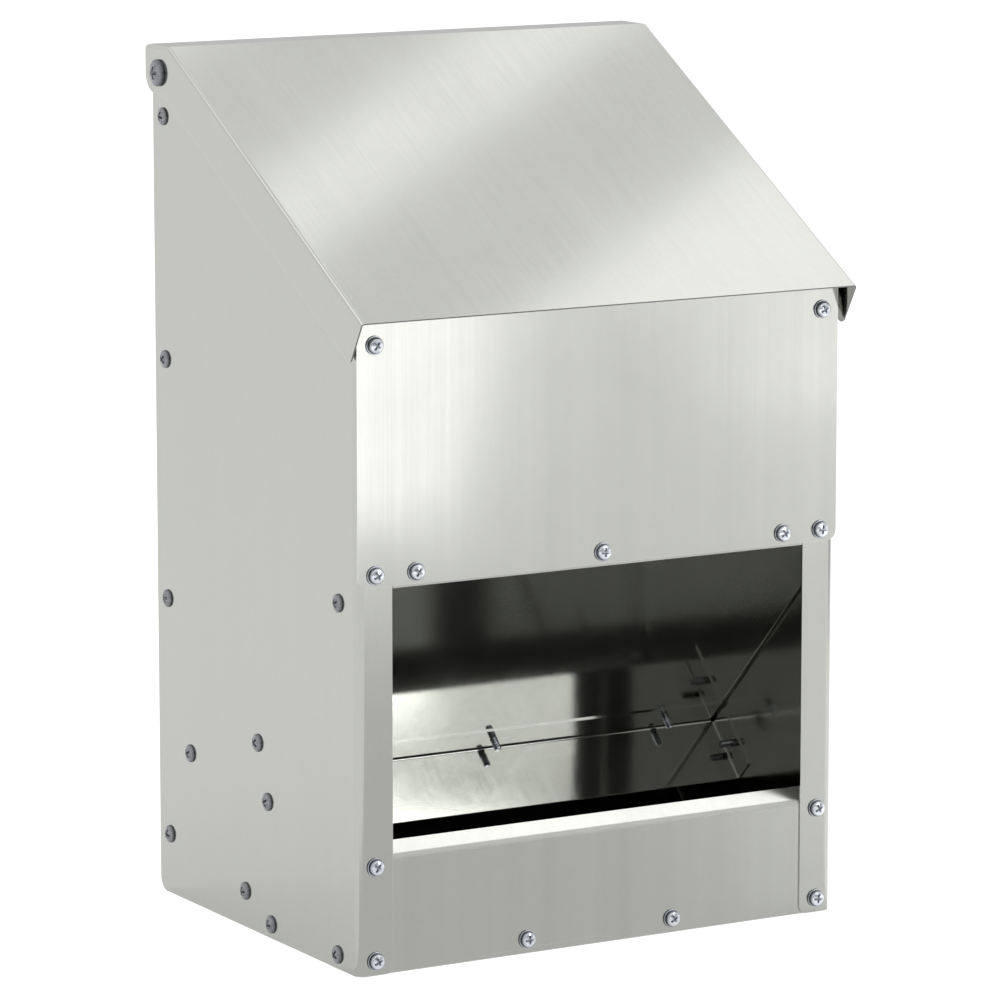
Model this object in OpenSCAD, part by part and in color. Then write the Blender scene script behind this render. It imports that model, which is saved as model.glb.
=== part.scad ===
// Poultry feeder: a galvanised sheet-steel hopper with a hinged lid.
// Feed is poured in under the lid, slides down between the baffle and the ramp,
// and lies in the trough behind the low front panel, where the birds reach it.
// Every sheet is a bent blank with screw flanges, held by small pan-head screws.
// Sizes are in millimetres. X is across, the front faces -Y, and Z is up.

/* [Sheet] */
// Thickness of the galvanised sheet
sheet_t = 0.8; // [0.6:0.1:1]
// Inside radius of the flange bends
bend_r = 1.2; // [0.8:0.1:1.6]
// Width of the screw flanges on the inner sheets
flange_w = 14; // [13:0.5:16]
// Distance of a flange's screws from the outer face of its sheet
flange_screw = 7.1; // [6:0.1:8]
// Distance of a flange's end screws from the end of the sheet
screw_end = 18.8; // [14:0.2:24]

/* [Body] */
// Width over the side panels
body_w = 270; // [240:1:320]
// Depth from the front strips to the back panel
body_d = 209; // [200:1:240]
// Width of the front strips that the side panels turn in
strip_w = 19; // [17:0.5:22]
// Outside radius of the two long front corners
corner_r = 4.5; // [3:0.5:6]
// Radius of the side panels' lower rear corners
rear_corner_r = 7; // [4:0.5:10]
// Radius of the front strips' lower inner corners
strip_corner_r = 4; // [2:0.5:6]
// Distance of the front strips' screws from the outside of the body
strip_screw = 9.5; // [8.5:0.5:10.5]
// Height of the back panel's lower edge above the ground
back_gap = 8; // [4:0.5:12]
// Width of the back panel's side flanges
back_flange_w = 18; // [16:0.5:22]
// Distance of the back panel's screws from its outer face
back_screw = 11.2; // [9:0.2:12]
// Height of the lowest screw of the back panel
back_screw_low = 30.6; // [24:0.2:40]

/* [Front] */
// Height of the mouth's upper edge
mouth_top = 188.7; // [180:0.5:196]
// Radius of the upper front panel's lower corners
panel_corner_r = 5; // [2:0.5:6]
// Distance of the upper front panel's upper screws below its upper edge
panel_screw_drop = 17.4; // [14:0.2:24]
// Distance of the outer baffle screws from the outside of the body
baffle_screw_in = 31.6; // [28:0.2:45]
// Height at which the low front panel starts to bend into its lip
front_low_h = 55.6; // [50:0.2:60]
// Outside radius of the lip's bend
lip_r = 4; // [2.5:0.5:6]
// Length of the flat part of the lip
lip_l = 7.4; // [5:0.2:10]
// Distance of the low front panel's upper screws below its bend
low_screw_drop = 2.4; // [2.3:0.1:4]
// Distance from the middle to each of the trough's front screws
trough_screw_x = 41.3; // [30:0.5:60]

/* [Chute] */
// Distance from the front to the lower edge of the baffle
throat_y = 110; // [105:0.5:114]
// Distance from the front to the fold between the floor and the ramp
foot_y = 107.6; // [104:0.2:112]
// Length of the flap from its fold to its free edge
flap_l = 37; // [34:0.5:42]
// Width of the strip that fastens the flap to the baffle
flap_strip_w = 16.4; // [15:0.2:20]
// Distance from the middle to each outer screw of the flap's seam
seam_screw_x = 102; // [90:1:110]
// Distance of the floor's front screw from the front
floor_screw_front = 20.6; // [16:0.2:26]
// Distance of the ramp's upper screw from the ramp's upper end
ramp_screw_top = 40.8; // [34:0.2:50]

/* [Lid] */
// Slope of the lid in degrees
lid_slope = 30; // [26:1:34]
// Height of the lid's flat rear strip
lid_top = 430.6; // [425:0.5:440]
// Depth of the lid's flat rear strip
lid_flat = 24.8; // [22:0.2:30]
// Overhang of the lid in front of the body
lid_front = 12.3; // [8:0.1:16]
// Overhang of the lid behind the body
lid_back = 0.8; // [0.5:0.1:2]
// Gap between the lid's side flanges and the side panels
lid_gap = 2.7; // [2.4:0.1:3.5]
// Width of the lid's side flanges
lid_flange_w = 24; // [22:0.5:27]
// Radius of the lid flanges' front tips
lid_tip_r = 3; // [1:0.5:5]
// Radius of the lid flanges' upper rear corners
lid_rear_r = 3; // [1:0.5:5]
// Radius of the lid flanges' lower rear corners
lid_heel_r = 10; // [6:0.5:11]
// How far the lid opens, in degrees
lid_open = 75; // [60:1:78]

/* [Pivot] */
// Distance of the lid's pivot in front of the body's back
pivot_in = 13.6; // [13.2:0.1:14.6]
// Distance of the lid's pivot below the lid's flat strip
pivot_drop = 13.5; // [13:0.1:14.5]
// Diameter of the pivot screws
pivot_d = 6; // [5:0.1:6]
// Diameter of the pivot screws' heads
pivot_head_d = 13.6; // [12:0.2:14]
// Height of the pivot screws' heads
pivot_head_h = 3.7; // [3:0.1:4.5]
// Length of the pivot screws under the head
pivot_l = 12; // [11:0.5:16]
// Diameter of the spacers between the lid and the side panels
spacer_d = 12; // [10:0.5:14]
// Width across the flats of the pivot nuts
nut_af = 10; // [9:0.5:11]
// Thickness of the pivot nuts
nut_h = 5; // [4:0.1:6]

/* [Screws] */
// Diameter of the sheet screws
screw_d = 4; // [3.5:0.1:4.5]
// Length of the sheet screws under the head
screw_l = 8; // [6:0.5:10]
// Diameter of the washer face under the screw heads
washer_d = 9.8; // [9:0.1:10.4]
// Thickness of the washer face under the screw heads
washer_t = 0.8; // [0.6:0.1:1]
// Diameter of the screw heads
head_d = 8; // [7:0.1:8.5]
// Height of the screw heads over the washer face
head_h = 2.5; // [2:0.1:3]

/* [Hidden] */
$fn = 64;
eps = 0.01;

// Clearances: beside a resting or neighbouring sheet, round a sheet screw,
// round the pivot screws, and beside the lid's flanges
seat_gap = 0.3;
screw_clear = 0.1;
pivot_clear = 0.05;
pivot_play = 0.1;

// The chutes all lie at this angle, so the flap stands square to the baffle
chute = 45;
rt2 = sqrt(2);

// Sheet sizes that follow from the driving ones
half_w = body_w / 2;
wall_x = half_w - sheet_t;
bend_out = bend_r + sheet_t;
flat_x = wall_x - bend_out;
mouth_x = half_w - strip_w;
behind_strip_x = half_w - corner_r - seat_gap;
strip_screw_x = half_w - strip_screw;

// Lid: fold line, front edge, side faces and the clearance arc round the pivot
lid_fold_y = body_d + lid_back - lid_flat;
lid_back_y = body_d + lid_back;
lid_half_w = half_w + lid_gap + sheet_t;
lid_run = lid_fold_y + lid_front;
lid_front_z = lid_top - lid_run * tan(lid_slope);
lid_under = sheet_t + seat_gap;
pivot_y = body_d - pivot_in;
pivot_z = lid_top - pivot_drop;
swing_r = pivot_drop - lid_under;
rear_top = pivot_z + (swing_r - pivot_in * sin(lid_open)) / cos(lid_open);
back_top = rear_top - seat_gap;

// Upper edge of the upper front panel, close under the lid
panel_lid_z = lid_front_z + (lid_front - sheet_t) * tan(lid_slope);
panel_top = panel_lid_z - lid_under / cos(lid_slope) - seat_gap;

// Where the baffle's front face, carried on, meets the front of the body
baffle_z = mouth_top - 1.2;
// Outer corner of the flap's fold
fold_y = throat_y + sheet_t / rt2;
fold_z = baffle_z - throat_y - sheet_t / rt2;
// Rear face of the ramp's top flange, and where the ramp meets it
ramp_back_y = body_d - sheet_t;
ramp_top_z = ramp_back_y - foot_y;
ramp_l = ramp_top_z * rt2;
// The ramp narrows here to pass between the back panel's flanges
ramp_narrow_y = body_d - back_flange_w - seat_gap;

// Middle of the whole feeder from front to back
mid_y = (lid_back_y - lid_front) / 2;

// Screw places on the side panels, each as distance from the front and height
function on_baffle(s) = [
    (s + flange_screw) / rt2,
    baffle_z - (s - flange_screw) / rt2
];
function on_flap(s) = [
    fold_y - (s + flange_screw) / rt2,
    fold_z - (s - flange_screw) / rt2
];
function on_ramp(s) = [
    foot_y + (s - flange_screw) / rt2,
    (s + flange_screw) / rt2
];
back_rows = 4;
back_step = (back_top - screw_end - back_screw_low) / (back_rows - 1);
back_places = [for (i = [0 : back_rows - 1])
    [body_d - back_screw, back_screw_low + i * back_step]];
baffle_places = [on_baffle(screw_end), on_baffle(throat_y * rt2 - screw_end)];
flap_places = [on_flap(screw_end + sheet_t)];
ramp_places = [on_ramp(screw_end), on_ramp(ramp_l - ramp_screw_top)];
floor_places = [[floor_screw_front, flange_screw], [foot_y - screw_end, flange_screw]];
side_places = concat(back_places, baffle_places, flap_places, ramp_places, floor_places);

// Screw places on the front, each as distance from the middle and height
panel_places = [for (x = [-strip_screw_x, strip_screw_x])
    for (z = [panel_top - panel_screw_drop, baffle_z + flange_screw]) [x, z]];
baffle_top_places = [for (x = [-1, 0, 1])
    [x * (half_w - baffle_screw_in), baffle_z + flange_screw]];
low_places = [for (x = [-strip_screw_x, strip_screw_x])
    for (z = [flange_screw, front_low_h - low_screw_drop]) [x, z]];
pan_places = [[-trough_screw_x, flange_screw], [trough_screw_x, flange_screw]];

// Points of an arc about c, from angle a0 to angle a1
bend_steps = 8;
function arc(c, r, a0, a1) = [for (i = [0 : bend_steps])
    c + r * [cos(a0 + (a1 - a0) * i / bend_steps), sin(a0 + (a1 - a0) * i / bend_steps)]];

// Colours
galvanised = [0.76, 0.77, 0.74];
galvanised_inside = [0.66, 0.67, 0.64];
zinc = [0.78, 0.80, 0.84];
dark_zinc = [0.58, 0.59, 0.62];

// Moves a shape from the front of the body to the middle of the feeder
module placed() {
    translate([0, -mid_y, 0]) children();
}

// Makes the same shape on the left
module mirrored() {
    mirror([1, 0, 0]) children();
}

// Extrudes an outline in Y and Z from x0 to x1
module across(x0, x1) {
    translate([x0, 0, 0]) rotate([90, 0, 90]) linear_extrude(x1 - x0) children();
}

// Extrudes an outline in X and Z into a sheet whose front face is at y
module upright(y, thick) {
    translate([0, y + thick, 0]) rotate([90, 0, 0]) linear_extrude(thick) children();
}

// Outline of a bend of up to a right angle, from angle a0 to angle a1
module bend(r_out, thick, a0, a1) {
    reach = 2 * r_out;
    mid = (a0 + a1) / 2;
    intersection() {
        difference() {
            circle(r_out);
            circle(r_out - thick);
        }
        polygon([
            [0, 0],
            [reach * cos(a0), reach * sin(a0)],
            [reach * cos(mid), reach * sin(mid)],
            [reach * cos(a1), reach * sin(a1)]
        ]);
    }
}

// Takes the corner off a shape that lies in the +x, +y quadrant
module corner_cut(r) {
    difference() {
        translate([-1, -1]) square(r + 1);
        translate([r, r]) circle(r);
    }
}

// Sheet with a flange bent up along each side, w wide, h high and l long
module channel(w, h, l) {
    linear_extrude(l) {
        translate([bend_out - w / 2, 0]) square([w - 2 * bend_out, sheet_t]);
        for (s = [0, 1]) mirror([s, 0]) {
            translate([w / 2 - bend_out, bend_out]) bend(bend_out, sheet_t, -90, 0);
            translate([w / 2 - sheet_t, bend_out]) square([sheet_t, h - bend_out]);
        }
    }
}

// Drills through both sides of a piece at places in Y and Z
module side_holes(places, d) {
    for (p = places)
        translate([-lid_half_w - 1, p[0], p[1]])
            rotate([0, 90, 0]) cylinder(d = d, h = 2 * lid_half_w + 2);
}

// Drills the front sheets at places in X and Z
module front_holes(places) {
    for (p = places)
        translate([p[0], -5, p[1]])
            rotate([-90, 0, 0]) cylinder(d = screw_d + 2 * screw_clear, h = 15);
}

module flange_holes(places) {
    side_holes(places, screw_d + 2 * screw_clear);
}

// Side panel outline in Y and Z, with its upper edge just under the lid
module side_outline() {
    difference() {
        union() {
            polygon([
                [0, 0],
                [body_d, 0],
                [body_d, rear_top],
                [pivot_y + swing_r * sin(lid_open), pivot_z + swing_r * cos(lid_open)],
                [pivot_y, pivot_z + swing_r],
                [lid_fold_y + lid_under * tan(lid_slope / 2), lid_top - lid_under],
                [0, lid_top - lid_fold_y * tan(lid_slope) - lid_under / cos(lid_slope)]
            ]);
            translate([pivot_y, pivot_z]) circle(swing_r);
        }
        translate([body_d, 0]) mirror([1, 0]) corner_cut(rear_corner_r);
    }
}

// The right side panel and its front strip, bent from one blank
module side_panel() {
    difference() {
        intersection() {
            linear_extrude(lid_top) {
                translate([half_w - corner_r, corner_r]) bend(corner_r, sheet_t, -90, 0);
                translate([wall_x, corner_r]) square([sheet_t, body_d - corner_r]);
                translate([mouth_x, 0]) square([strip_w - corner_r, sheet_t]);
            }
            across(0, half_w) side_outline();
        }
        upright(-1, sheet_t + 2) translate([mouth_x, 0]) corner_cut(strip_corner_r);
        flange_holes(side_places);
        side_holes([[pivot_y, pivot_z]], pivot_d + 2 * pivot_clear);
        front_holes(panel_places);
        front_holes(low_places);
    }
}

module left_side_panel() {
    color(galvanised) placed() mirrored() side_panel();
}

module right_side_panel() {
    color(galvanised) placed() side_panel();
}

// Back panel with its side flanges turned forward between the side panels
module back_panel() {
    flange_top = pivot_z - nut_af;
    color(galvanised) placed() difference() {
        translate([0, body_d, back_top]) rotate([180, 0, 0])
            channel(2 * wall_x, back_flange_w, back_top - back_gap);
        for (s = [0, 1]) mirror([s, 0, 0])
            translate([flat_x, body_d - back_flange_w - 1, flange_top])
                cube([bend_out + 1, back_flange_w + 2, back_top]);
        flange_holes(back_places);
    }
}

// Flat panel in front of the strips, over the mouth
module upper_front_panel() {
    color(galvanised) placed() difference() {
        upright(-sheet_t, sheet_t) difference() {
            translate([-half_w, mouth_top]) square([body_w, panel_top - mouth_top]);
            for (s = [0, 1]) mirror([s, 0])
                translate([-half_w, mouth_top]) corner_cut(panel_corner_r);
        }
        front_holes(panel_places);
        front_holes(baffle_top_places);
    }
}

// Section of the low panel in Y and Z: upright sheet, bend and leaning lip
module low_panel_section() {
    centre = [sheet_t + lip_r, front_low_h];
    lip = [lip_l * cos(chute), lip_l * sin(chute)];
    outer = arc(centre, lip_r, 180, 180 - chute);
    inner = arc(centre, lip_r - sheet_t, 180 - chute, 180);
    polygon(concat(
        [[sheet_t, 0]],
        outer,
        [outer[len(outer) - 1] + lip, inner[0] + lip],
        inner,
        [[2 * sheet_t, 0]]
    ));
}

// Low panel behind the strips, with a lip leaning in over the trough
module lower_front_panel() {
    color(galvanised) placed() difference() {
        across(-behind_strip_x, behind_strip_x) low_panel_section();
        front_holes(low_places);
        front_holes(pan_places);
    }
}

// Section of the feed pan: front flange, floor, ramp and top flange
module pan_section() {
    front_y = 2 * sheet_t;
    floor_y = front_y + bend_out;
    top_z = ramp_top_z + flange_w;
    translate([front_y, bend_out]) square([sheet_t, flange_w - bend_out]);
    translate([floor_y, bend_out]) bend(bend_out, sheet_t, 180, 270);
    polygon([
        [floor_y, 0],
        [foot_y, 0],
        [ramp_back_y, ramp_top_z],
        [ramp_back_y, top_z],
        [ramp_back_y - sheet_t, top_z],
        [ramp_back_y - sheet_t, ramp_top_z - sheet_t + sheet_t * rt2],
        [foot_y - sheet_t * rt2 + sheet_t, sheet_t],
        [floor_y, sheet_t]
    ]);
}

// Trough floor and feed ramp, bent from one blank, with side flanges turned up
module feed_pan() {
    slit = 0.4;
    tall = 60;
    lean = tall * tan(chute / 2);
    start_y = corner_r + seat_gap;
    color(galvanised_inside) placed() difference() {
        union() {
            across(-flat_x, flat_x) pan_section();
            // wider rear end of the ramp, between the back panel's flanges
            across(sheet_t + seat_gap - wall_x, wall_x - sheet_t - seat_gap)
                intersection() {
                    pan_section();
                    translate([ramp_narrow_y, 0]) square([back_flange_w + 1, lid_top]);
                }
            // side flanges of the floor, mitred at the ramp's foot
            intersection() {
                translate([0, foot_y, 0]) rotate([90, 0, 0])
                    channel(2 * wall_x, flange_w, foot_y - start_y);
                across(-half_w, half_w) polygon([
                    [start_y, 0],
                    [foot_y - slit, 0],
                    [foot_y - slit - lean, tall],
                    [start_y, tall]
                ]);
            }
            // side flanges of the ramp
            intersection() {
                translate([0, ramp_back_y, ramp_top_z]) rotate([90 + chute, 0, 0])
                    channel(2 * wall_x, flange_w, ramp_l);
                across(-half_w, half_w) polygon([
                    [foot_y + slit, 0],
                    [ramp_narrow_y, 0],
                    [ramp_narrow_y, lid_top],
                    [foot_y + slit - lean, lid_top],
                    [foot_y + slit - lean, tall]
                ]);
            }
        }
        // the front flange fits between the bends of the side panels
        for (s = [0, 1]) mirror([s, 0, 0])
            translate([behind_strip_x, 0, -1]) cube([strip_w, start_y, flange_w + 2]);
        flange_holes(ramp_places);
        flange_holes(floor_places);
        front_holes(low_places);
        front_holes(pan_places);
    }
}

// Section of the baffle: the flange behind the upper front panel and the slope
module baffle_section() {
    half_t = sheet_t / rt2;
    polygon([
        [0, baffle_z + flange_w + sheet_t],
        [0, baffle_z],
        [throat_y, baffle_z - throat_y],
        [throat_y + half_t, baffle_z - throat_y + half_t],
        [sheet_t, baffle_z + 2 * half_t - sheet_t],
        [sheet_t, baffle_z + flange_w + sheet_t]
    ]);
}

// Sloping front wall of the hopper, with side flanges turned to its back
module hopper_baffle() {
    start_y = corner_r + seat_gap;
    strip_back = sheet_t + seat_gap;
    color(galvanised_inside) placed() difference() {
        union() {
            across(seat_gap - mouth_x, mouth_x - seat_gap) baffle_section();
            across(-behind_strip_x, behind_strip_x) intersection() {
                baffle_section();
                translate([strip_back, 0]) square([throat_y + 1, baffle_z + strip_back]);
            }
            translate([0, throat_y, baffle_z - throat_y]) rotate([chute, 0, 0])
                channel(2 * wall_x, flange_w, (throat_y - start_y) * rt2);
        }
        flange_holes(baffle_places);
        front_holes(baffle_top_places);
        seam_holes();
    }
}

// Puts a shape at each seam screw, on the baffle's back face and square to it
module at_seam() {
    up = (flap_strip_w + bend_out) / 2 - sheet_t;
    for (x = [-seam_screw_x, 0, seam_screw_x])
        translate([x, fold_y + (sheet_t - up) / rt2, fold_z + (sheet_t + up) / rt2])
            rotate([chute - 90, 0, 0]) children();
}

module seam_holes() {
    at_seam() translate([0, 0, -5]) cylinder(d = screw_d + 2 * screw_clear, h = 10);
}

// Flap that turns the feed back into the trough, screwed to the baffle's front face
module feed_flap() {
    color(galvanised_inside) placed() difference() {
        union() {
            across(-flat_x, flat_x) translate([fold_y, fold_z]) rotate(90 + chute) {
                translate([bend_out, 0]) square([flap_strip_w - bend_out, sheet_t]);
                translate([bend_out, bend_out]) bend(bend_out, sheet_t, 180, 270);
                translate([0, bend_out]) square([sheet_t, flap_l - bend_out]);
            }
            translate([0, fold_y, fold_z]) rotate([90 + chute, 0, 0])
                translate([0, 0, bend_out + seat_gap])
                    channel(2 * wall_x, flange_w, flap_l - bend_out - seat_gap);
        }
        flange_holes(flap_places);
        seam_holes();
    }
}

// Zone in Y and Z on one side of the mitre at the lid's fold
module lid_zone(behind) {
    lean = tan(lid_slope / 2);
    up = 10;
    down = lid_top;
    edge = behind ? lid_back_y + up : -lid_front - up;
    polygon([
        [edge, lid_top + up],
        [lid_fold_y - up * lean, lid_top + up],
        [lid_fold_y + down * lean, lid_top - down],
        [edge + (behind ? down : 0), lid_top - down]
    ]);
}

// Hinged lid: sloping top, flat rear strip and side flanges turned down
module lid() {
    slope_l = lid_run / cos(lid_slope);
    extra = lid_flange_w;
    tip_y = lid_flange_w * sin(lid_slope) - lid_front;
    tip_z = lid_front_z - lid_flange_w * cos(lid_slope);
    color(galvanised) placed() difference() {
        union() {
            intersection() {
                translate([0, -lid_front, lid_front_z]) rotate([lid_slope - 90, 0, 0])
                    channel(2 * lid_half_w, lid_flange_w, slope_l + extra);
                across(-lid_half_w - 1, lid_half_w + 1) lid_zone(false);
            }
            intersection() {
                translate([0, lid_fold_y - extra, lid_top]) rotate([-90, 0, 0])
                    channel(2 * lid_half_w, lid_flange_w, lid_flat + extra);
                across(-lid_half_w - 1, lid_half_w + 1) lid_zone(true);
            }
        }
        across(-lid_half_w - 1, lid_half_w + 1) {
            translate([tip_y, tip_z]) rotate(lid_slope) corner_cut(lid_tip_r);
            translate([lid_back_y, lid_top]) rotate(180) corner_cut(lid_rear_r);
            translate([lid_back_y, lid_top - lid_flange_w]) mirror([1, 0])
                corner_cut(lid_heel_r);
        }
        side_holes([[pivot_y, pivot_z]], pivot_d + 2 * pivot_clear);
    }
}

// Domed head of diameter d and height h, standing on z = 0
module dome(d, h) {
    wall = h / 2;
    cap = h - wall;
    r = (d * d / 4 + cap * cap) / (2 * cap);
    rotate_extrude() intersection() {
        square([d / 2, h]);
        translate([0, h - r]) circle(r);
    }
}

// Pan-head screw with a washer face; its head points to +Z from its seat
module screw() {
    cylinder(d = washer_d, h = washer_t);
    translate([0, 0, washer_t - eps]) dome(head_d, head_h + eps);
    translate([0, 0, -screw_l]) cylinder(d = screw_d, h = screw_l + eps);
}

// Screws in the right side panel at places in Y and Z
module side_screws(places) {
    for (p = places) translate([half_w, p[0], p[1]]) rotate([0, 90, 0]) screw();
}

// Screws in a front sheet whose face is at y, at places in X and Z
module front_screws(places, y) {
    for (p = places) translate([p[0], y, p[1]]) rotate([90, 0, 0]) screw();
}

// Puts a part of the right pivot at distance x from the middle
module at_pivot(x) {
    translate([x, pivot_y, pivot_z]) rotate([0, 90, 0]) children();
}

// Shouldered pivot screw through the lid, the spacer and the side panel
module pivot_screw() {
    at_pivot(lid_half_w + pivot_play) {
        dome(pivot_head_d, pivot_head_h);
        translate([0, 0, -pivot_l]) cylinder(d = pivot_d, h = pivot_l + eps);
    }
}

// Spacer that keeps the lid's flange off the side panel
module pivot_spacer() {
    at_pivot(half_w) difference() {
        cylinder(d = spacer_d, h = lid_gap - pivot_play);
        translate([0, 0, -1]) cylinder(d = pivot_d + 2 * pivot_clear, h = lid_gap + 2);
    }
}

// Hexagon nut on the inside of the side panel
module pivot_nut() {
    corner = nut_af / sqrt(3);
    chamfer = corner - nut_af / 2;
    at_pivot(wall_x - nut_h) difference() {
        intersection() {
            cylinder(r = corner, h = nut_h, $fn = 6);
            rotate_extrude() polygon([
                [0, 0],
                [nut_af / 2, 0],
                [corner, chamfer],
                [corner, nut_h],
                [0, nut_h]
            ]);
        }
        translate([0, 0, -1]) cylinder(d = pivot_d + 2 * pivot_clear, h = nut_h + 2);
    }
}

module left_pivot_screw() {
    color(dark_zinc) placed() mirrored() pivot_screw();
}

module right_pivot_screw() {
    color(dark_zinc) placed() pivot_screw();
}

module left_pivot_spacer() {
    color(zinc) placed() mirrored() pivot_spacer();
}

module right_pivot_spacer() {
    color(zinc) placed() pivot_spacer();
}

module left_pivot_nut() {
    color(zinc) placed() mirrored() pivot_nut();
}

module right_pivot_nut() {
    color(zinc) placed() pivot_nut();
}

module upper_panel_screws() {
    color(zinc) placed() front_screws(panel_places, -sheet_t);
}

module baffle_top_screws() {
    color(zinc) placed() front_screws(baffle_top_places, -sheet_t);
}

module lower_panel_screws() {
    color(zinc) placed() front_screws(low_places, 0);
}

module pan_front_screws() {
    color(zinc) placed() front_screws(pan_places, sheet_t);
}

module left_back_panel_screws() {
    color(dark_zinc) placed() mirrored() side_screws(back_places);
}

module right_back_panel_screws() {
    color(dark_zinc) placed() side_screws(back_places);
}

module left_baffle_screws() {
    color(dark_zinc) placed() mirrored() side_screws(baffle_places);
}

module right_baffle_screws() {
    color(dark_zinc) placed() side_screws(baffle_places);
}

module left_flap_screw() {
    color(dark_zinc) placed() mirrored() side_screws(flap_places);
}

module right_flap_screw() {
    color(dark_zinc) placed() side_screws(flap_places);
}

module left_ramp_screws() {
    color(dark_zinc) placed() mirrored() side_screws(ramp_places);
}

module right_ramp_screws() {
    color(dark_zinc) placed() side_screws(ramp_places);
}

module left_floor_screws() {
    color(dark_zinc) placed() mirrored() side_screws(floor_places);
}

module right_floor_screws() {
    color(dark_zinc) placed() side_screws(floor_places);
}

module flap_seam_screws() {
    color(zinc) placed() at_seam() screw();
}

left_side_panel();
right_side_panel();
back_panel();
upper_front_panel();
lower_front_panel();
feed_pan();
hopper_baffle();
feed_flap();
lid();
left_pivot_screw();
right_pivot_screw();
left_pivot_spacer();
right_pivot_spacer();
left_pivot_nut();
right_pivot_nut();
upper_panel_screws();
baffle_top_screws();
lower_panel_screws();
pan_front_screws();
left_back_panel_screws();
right_back_panel_screws();
left_baffle_screws();
right_baffle_screws();
left_flap_screw();
right_flap_screw();
left_ramp_screws();
right_ramp_screws();
left_floor_screws();
right_floor_screws();
flap_seam_screws();
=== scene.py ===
import math

import bpy
from mathutils import Matrix, Vector


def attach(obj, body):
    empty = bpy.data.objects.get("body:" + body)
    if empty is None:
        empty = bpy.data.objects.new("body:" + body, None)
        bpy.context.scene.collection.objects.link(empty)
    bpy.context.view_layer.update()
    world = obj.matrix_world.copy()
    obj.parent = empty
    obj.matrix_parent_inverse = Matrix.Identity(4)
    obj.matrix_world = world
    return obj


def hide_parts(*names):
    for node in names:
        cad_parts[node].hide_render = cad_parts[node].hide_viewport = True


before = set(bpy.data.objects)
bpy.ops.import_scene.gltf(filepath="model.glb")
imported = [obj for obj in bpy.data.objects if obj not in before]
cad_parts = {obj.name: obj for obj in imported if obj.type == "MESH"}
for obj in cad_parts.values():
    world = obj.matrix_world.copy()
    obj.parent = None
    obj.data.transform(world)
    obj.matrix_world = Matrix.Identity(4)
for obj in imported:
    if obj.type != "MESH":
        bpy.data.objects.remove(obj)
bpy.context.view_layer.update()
mm = 0.001
micron = 0.000001
print("loaded the packed feeder:", len(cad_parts), "nodes")


# Node helpers

def addNode(tree, kind, inputs=None, **settings):
    node = tree.nodes.new(kind)
    for key, value in settings.items():
        setattr(node, key, value)
    for key, value in (inputs or {}).items():
        if isinstance(value, bpy.types.NodeSocket):
            tree.links.new(value, node.inputs[key])
        else:
            node.inputs[key].default_value = value
    return node


def doMath(tree, operation, a, b=0.0, c=0.0):
    return addNode(tree, "ShaderNodeMath", {0: a, 1: b, 2: c}, operation=operation).outputs[0]


def newGroup(name, inputs, outputs):
    tree = bpy.data.node_groups.new(name, "ShaderNodeTree")
    for label, kind, value in inputs:
        socket = tree.interface.new_socket(name=label, in_out="INPUT", socket_type=kind)
        if value is not None:
            socket.default_value = value
    for label, kind in outputs:
        tree.interface.new_socket(name=label, in_out="OUTPUT", socket_type=kind)
    return tree, tree.nodes.new("NodeGroupInput"), tree.nodes.new("NodeGroupOutput")


def placeGroup(tree, group, inputs):
    return addNode(tree, "ShaderNodeGroup", inputs, node_tree=group)


def howAlike(tree, a, b):
    # 1 where two directions are the same, 0 where they are square to each other
    return addNode(tree, "ShaderNodeVectorMath", {0: a, 1: b},
                   operation="DOT_PRODUCT").outputs["Value"]


def mixNumber(tree, mask, below, above):
    return addNode(tree, "ShaderNodeMix",
                   {"Factor": mask, "A": below, "B": above}).outputs["Result"]


def mixColour(tree, mask, below, above):
    return addNode(tree, "ShaderNodeMix",
                   {"Factor": mask, "A": below, "B": above + (1.0,)},
                   data_type="RGBA").outputs["Result"]


# Effects that several finishes share

def buildRollingMarks():
    # fine lines that the rolling mill leaves along the sheet, and broader ones between them
    broadShare = 0.12        # the broad lines' number, as a share of the fine ones'
    tree, given, result = newGroup("rollingMarks", [
        ("Place", "NodeSocketVector", None),
        ("Lines Per Metre", "NodeSocketVector", (700.0, 700.0, 8.0)),
    ], [("Lines", "NodeSocketFloat"), ("Broad Lines", "NodeSocketFloat")])
    stretched = addNode(tree, "ShaderNodeVectorMath",
                        {0: given.outputs["Place"], 1: given.outputs["Lines Per Metre"]},
                        operation="MULTIPLY").outputs[0]
    fine = addNode(tree, "ShaderNodeTexNoise",
                   {"Vector": stretched, "Scale": 1.0, "Detail": 3.0, "Roughness": 0.6})
    broadPlace = addNode(tree, "ShaderNodeVectorMath", {0: stretched, "Scale": broadShare},
                         operation="SCALE").outputs[0]
    broad = addNode(tree, "ShaderNodeTexNoise",
                    {"Vector": broadPlace, "Scale": 1.0, "Detail": 2.0, "Roughness": 0.5})
    for texture, label in ((fine, "Lines"), (broad, "Broad Lines")):
        spread = addNode(tree, "ShaderNodeMapRange",
                         {"Value": texture.outputs["Fac"], "From Min": 0.3, "From Max": 0.7})
        tree.links.new(spread.outputs["Result"], result.inputs[label])
    return tree


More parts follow.
